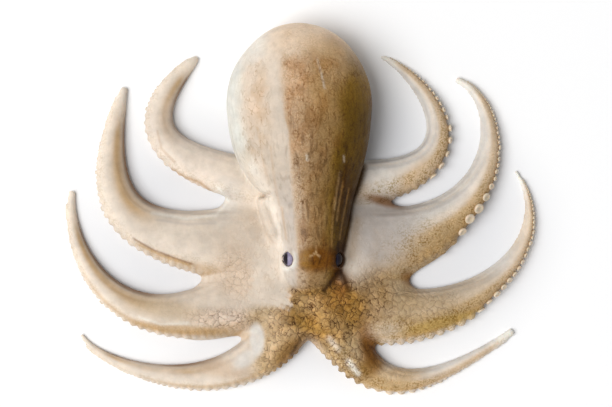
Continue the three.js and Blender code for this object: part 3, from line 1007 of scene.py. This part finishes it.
class Nodes:
    """Short names for building the node tree of a material or a world."""

    def __init__(self, owner, shader="Principled BSDF"):
        owner.use_nodes = True
        self.owner = owner
        self.tree = owner.node_tree
        self.shader = self.tree.nodes[shader]

    def add(self, kind, **settings):
        node = self.tree.nodes.new(kind)
        for key, value in settings.items():
            setattr(node, key, value)
        return node

    def link(self, source, target):
        self.tree.links.new(source, target)

    def put(self, value, socket):
        if isinstance(value, bpy.types.NodeSocket):
            self.link(value, socket)
        else:
            socket.default_value = value

    def fill(self, node, **sockets):
        """Values for a node's sockets, with spaces in their names written as _."""
        for key, value in sockets.items():
            self.put(value, node.inputs[key.replace("_", " ")])

    def set(self, **sockets):
        self.fill(self.shader, **sockets)

    def result(self, node, *values):
        """What a node gives for values put into the sockets that it uses, in their order."""
        for value, socket in zip(values, [s for s in node.inputs if s.enabled]):
            self.put(value, socket)
        return next(s for s in node.outputs if s.enabled)

    def attribute(self, name, output="Fac"):
        return self.add("ShaderNodeAttribute", attribute_name=name).outputs[output]

    def math(self, operation, *values, clamp=False):
        return self.result(self.add("ShaderNodeMath", operation=operation, use_clamp=clamp), *values)

    def times(self, a, b, clamp=False):
        return self.math("MULTIPLY", a, b, clamp=clamp)

    def vector(self, operation, *values):
        return self.result(self.add("ShaderNodeVectorMath", operation=operation), *values)

    def mix(self, amount, a, b, blend="MIX"):
        return self.result(self.add("ShaderNodeMix", data_type="RGBA", blend_type=blend), amount, a, b)

    def filtered(self, colour, other):
        """A colour seen through another."""
        return self.mix(1.0, colour, other, "MULTIPLY")

    def stained(self, colour, amount, stain):
        """A colour, seen through a screen colour where the amount is 1."""
        return self.mix(amount, colour, self.filtered(colour, rgb(stain)))

    def span(self, value, low, high, to_low=0.0, to_high=1.0):
        node = self.add("ShaderNodeMapRange", interpolation_type="SMOOTHSTEP")
        self.fill(node, Value=value, From_Min=low, From_Max=high, To_Min=to_low, To_Max=to_high)
        return node.outputs["Result"]

    def place(self, stretch=(1, 1, 1)):
        node = self.add("ShaderNodeMapping")
        self.fill(node, Vector=self.add("ShaderNodeTexCoord").outputs["Object"], Scale=stretch)
        return node.outputs["Vector"]

    def noise(self, scale, detail, vector=None, output="Fac"):
        node = self.add("ShaderNodeTexNoise")
        self.fill(node, Vector=vector or self.place(), Scale=scale, Detail=detail)
        return node.outputs[output]

    def push(self, vector, scale, amount):
        """A place, pushed about by noise."""
        centred = self.vector("SUBTRACT", self.noise(scale, 2, output="Color"), (0.5, 0.5, 0.5))
        return self.vector("ADD", vector, self.vector("SCALE", centred, amount))

    def voronoi(self, scale, vector, feature="DISTANCE_TO_EDGE", output="Distance"):
        node = self.add("ShaderNodeTexVoronoi", feature=feature)
        self.fill(node, Vector=vector, Scale=scale)
        return node.outputs[output]

    def bump(self, height, distance, strength, normal=None):
        node = self.add("ShaderNodeBump")
        self.fill(node, Height=height, Distance=distance, Strength=strength)
        if normal:
            self.link(normal, node.inputs["Normal"])
        return node.outputs["Normal"]


def rgb(colour):
    return (*linear(colour), 1)


def flesh_material():
    n = Nodes(bpy.data.materials.new("flesh"))
    net = n.attribute("net")
    warped = n.push(n.push(n.place(), 230, 0.004), 800, 0.0016)
    edge = n.voronoi(CELLS_PER_METRE, warped)
    fine_edge = n.voronoi(FINE_CELLS_PER_METRE, warped)
    broken = n.span(n.noise(360, 3), 0.36, 0.56, 0.1, 1.0)
    line = n.times(n.span(edge, 0, 0.08, 1, 0), broken)
    line = n.times(line, n.span(net, 0, 0.9), clamp=True)
    fine = n.times(n.span(fine_edge, 0, 0.1, 1, 0), n.span(n.noise(190, 2), 0.42, 0.58))
    fine = n.times(fine, n.span(net, 0, 1, 0, 0.7), clamp=True)
    dots = n.span(n.noise(1300, 2), 0.44, 0.6)
    dots = n.times(dots, n.span(n.noise(240, 3), 0.36, 0.6, 0.3, 1.0))
    amount = n.math("ADD", n.times(n.attribute("speckle"), 0.8), 0.06)
    dots = n.times(dots, amount, clamp=True)
    curls = n.math("ABSOLUTE", n.math("SUBTRACT", n.noise(380, 3, n.place((1, 0.5, 1))), 0.5))
    curls = n.times(n.span(curls, 0, 0.045, 0.7, 0), n.span(n.noise(300, 3), 0.38, 0.62))
    curls = n.times(curls, n.attribute("veins"), clamp=True)
    cloud = n.span(n.noise(90, 4), 0.3, 0.7, 0.93, 1.06)
    mottle = n.span(n.noise(300, 4), 0.3, 0.7, 0.95, 1.05)
    streaks = n.span(n.noise(620, 3, n.place((1, 0.16, 1))), 0.5, 0.68)
    streaks = n.times(streaks, n.times(n.attribute("streaks"), 0.6))
    warm = n.span(n.noise(120, 4, n.place((1, 0.6, 1))), 0.48, 0.66, 0, 0.5)
    warm = n.times(warm, n.attribute("veins"), clamp=True)

    colour = n.filtered(n.attribute("tint", "Color"), n.filtered(cloud, mottle))
    colour = n.stained(colour, warm, (226, 198, 156))
    cells = n.span(n.voronoi(CELLS_PER_METRE, warped, "F1", "Color"), 0.25, 0.75, 0.84, 1.2)
    domed = n.filtered(colour, n.filtered(n.span(edge, 0, 0.4, 0.9, 1.08), cells))
    faded = n.times(n.span(n.noise(130, 3), 0.42, 0.6), 0.6)
    domed = n.mix(faded, domed, n.filtered(domed, (1.45, 1.5, 1.7, 1)))
    colour = n.mix(n.span(net, 0.1, 1.0), colour, domed)
    stains = [(n.times(line, 0.95), (98, 60, 24)), (fine, (184, 162, 124)), (dots, (190, 174, 124))]
    stains += [(curls, (178, 150, 112)), (streaks, (150, 128, 92))]
    for amount, stain in stains:
        colour = n.stained(colour, amount, stain)

    pebbles = n.times(n.span(edge, 0, 0.3), net)
    normal = n.bump(pebbles, 0.0006, 0.6)
    normal = n.bump(n.noise(900, 3), 0.00022, 0.4, normal)
    normal = n.bump(n.noise(200, 3), 0.0006, 0.25, normal)
    n.set(Base_Color=colour, Normal=normal, Roughness=n.span(n.noise(300, 3), 0.3, 0.7, 0.4, 0.56))
    n.set(Specular_IOR_Level=0.1, Subsurface_Weight=0.2, Subsurface_Scale=0.0012)
    n.set(Subsurface_Radius=(1.0, 0.7, 0.5), Coat_Weight=0.08, Coat_Roughness=0.15)
    return n.owner


def sucker_material():
    n = Nodes(bpy.data.materials.new("sucker"))
    hollow = n.attribute("hollow")
    cloud = n.span(n.noise(300, 3), 0.3, 0.7, 0.9, 1.06)
    colour = n.mix(n.span(hollow, 0.05, 0.35), rgb((160, 126, 84)), rgb((220, 203, 178)))
    # A little darker into the hollow: painted shade.
    colour = n.mix(n.span(hollow, 0.65, 1.0), colour, rgb((208, 188, 160)))
    n.set(Base_Color=n.filtered(colour, cloud), Normal=n.bump(n.noise(1500, 2), 0.0001, 0.5))
    n.set(Roughness=0.3, Specular_IOR_Level=0.4, Subsurface_Weight=0.25, Subsurface_Scale=0.0012)
    n.set(Subsurface_Radius=(1.0, 0.6, 0.4))
    return n.owner


def eye_material():
    n = Nodes(bpy.data.materials.new("eye"))
    grey = n.mix(n.noise(900, 3), rgb((104, 94, 122)), rgb((172, 164, 188)))
    colour = n.mix(n.span(n.attribute("iris"), 0.85, 1.1), grey, rgb((120, 106, 104)))
    # Painted shade: the iris of the eye turned away from the light is darkened.
    colour = n.mix(n.attribute("shade"), colour, rgb((26, 22, 40)))
    colour = n.mix(n.span(n.attribute("pupil"), 0.8, 1.2, 1, 0), colour, rgb((18, 8, 20)))
    n.set(Base_Color=colour, Roughness=0.3, Specular_IOR_Level=0.15)
    n.set(Coat_Weight=0.15, Coat_Roughness=0.04)
    return n.owner


# ---- The octopus ----

points, quads = skin_surface()
skin = make_mesh("skin", points, quads, flesh_material(), "flesh", **skin_colours(points))
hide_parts("octopus_body")
sucker = sucker_material()
make_suckers("suckers_outer", outer_cup, sucker)
make_suckers("suckers_under", under_cup, sucker)
for eye in EYES:
    make_eye(eye, eye_material())

# ---- Stage ----
# WALLS_DIM: sines of the elevations between which the tent's light falls.

HORIZON_LIGHT = 0.6
ZENITH_LIGHT = 0.1
WALLS_DIM = (0.4, 0.9)
LIGHT_FROM_LEFT = 0.25
KEY_LIGHT = 5.8
KEY_PLACE = (-2.0, -0.5, 3.5)
KEY_TARGET = (0, 0.03, 0)
KEY_SIZE = (3.0, 3.0)
FLOOR_HALF = 1.5
FLOOR_SHADE_STRETCH = (1, 1.6, 1)
FLOOR_SHADE_CENTRE = (0, 0.024, 0)
FLOOR_SHADE_FROM = 0.072
FLOOR_SHADE_TO = 0.125
CAMERA_PLACE = (-0.0018, 0.0277, 0.765)
CAMERA_LENS = 100
CAMERA_SENSOR = 36


def floor_material():
    """Off-white, with painted shade that makes it a little greyer under and close round the octopus."""
    n = Nodes(bpy.data.materials.new("floor"))
    away = n.vector("DISTANCE", n.place(FLOOR_SHADE_STRETCH), FLOOR_SHADE_CENTRE)
    colour = n.mix(n.noise(3, 2), rgb((254, 254, 254)), rgb((252, 252, 253)))
    near = n.span(away, FLOOR_SHADE_FROM, FLOOR_SHADE_TO, 1, 0)
    n.set(Base_Color=n.mix(near, colour, rgb((232, 233, 236))), Roughness=0.6, Specular_IOR_Level=0.2)
    return n.owner


def make_floor():
    mesh = bpy.data.meshes.new("floor")
    corners = [(FLOOR_HALF * x, FLOOR_HALF * y, 0) for x, y in ((-1, -1), (1, -1), (1, 1), (-1, 1))]
    mesh.from_pydata(corners, [], [(0, 1, 2, 3)])
    mesh.materials.append(floor_material())
    add_object("floor", mesh)


def add_softbox(name, place, target, size, radiance):
    """A lamp whose face shines with the given radiance."""
    light = bpy.data.lights.new(name, "AREA")
    light.shape = "RECTANGLE"
    light.size, light.size_y = size
    light.energy = radiance * math.pi * size[0] * size[1]
    lamp = add_object(name, light)
    lamp.location = place
    lamp.rotation_euler = (Vector(target) - Vector(place)).to_track_quat("-Z", "Y").to_euler()


def make_world():
    """A light tent: bright walls all round, brightest on the left, and a dim top."""
    n = Nodes(bpy.data.worlds.new("studio"), "Background")
    way = n.add("ShaderNodeSeparateXYZ")
    n.link(n.add("ShaderNodeTexCoord").outputs["Generated"], way.inputs[0])
    walls = n.span(way.outputs["Z"], *WALLS_DIM, HORIZON_LIGHT, ZENITH_LIGHT)
    tilt = n.math("MULTIPLY_ADD", way.outputs["X"], -LIGHT_FROM_LEFT, 1)
    n.set(Color=(1, 1, 1, 1), Strength=n.times(walls, tilt))
    bpy.context.scene.world = n.owner


def make_camera():
    lens = bpy.data.cameras.new("camera")
    lens.lens = CAMERA_LENS
    lens.sensor_width = CAMERA_SENSOR
    camera = add_object("camera", lens)
    camera.location = CAMERA_PLACE
    bpy.context.scene.camera = camera


make_floor()
make_world()
add_softbox("key", KEY_PLACE, KEY_TARGET, KEY_SIZE, KEY_LIGHT)
make_camera()
bpy.context.scene.view_settings.view_transform = "Standard"
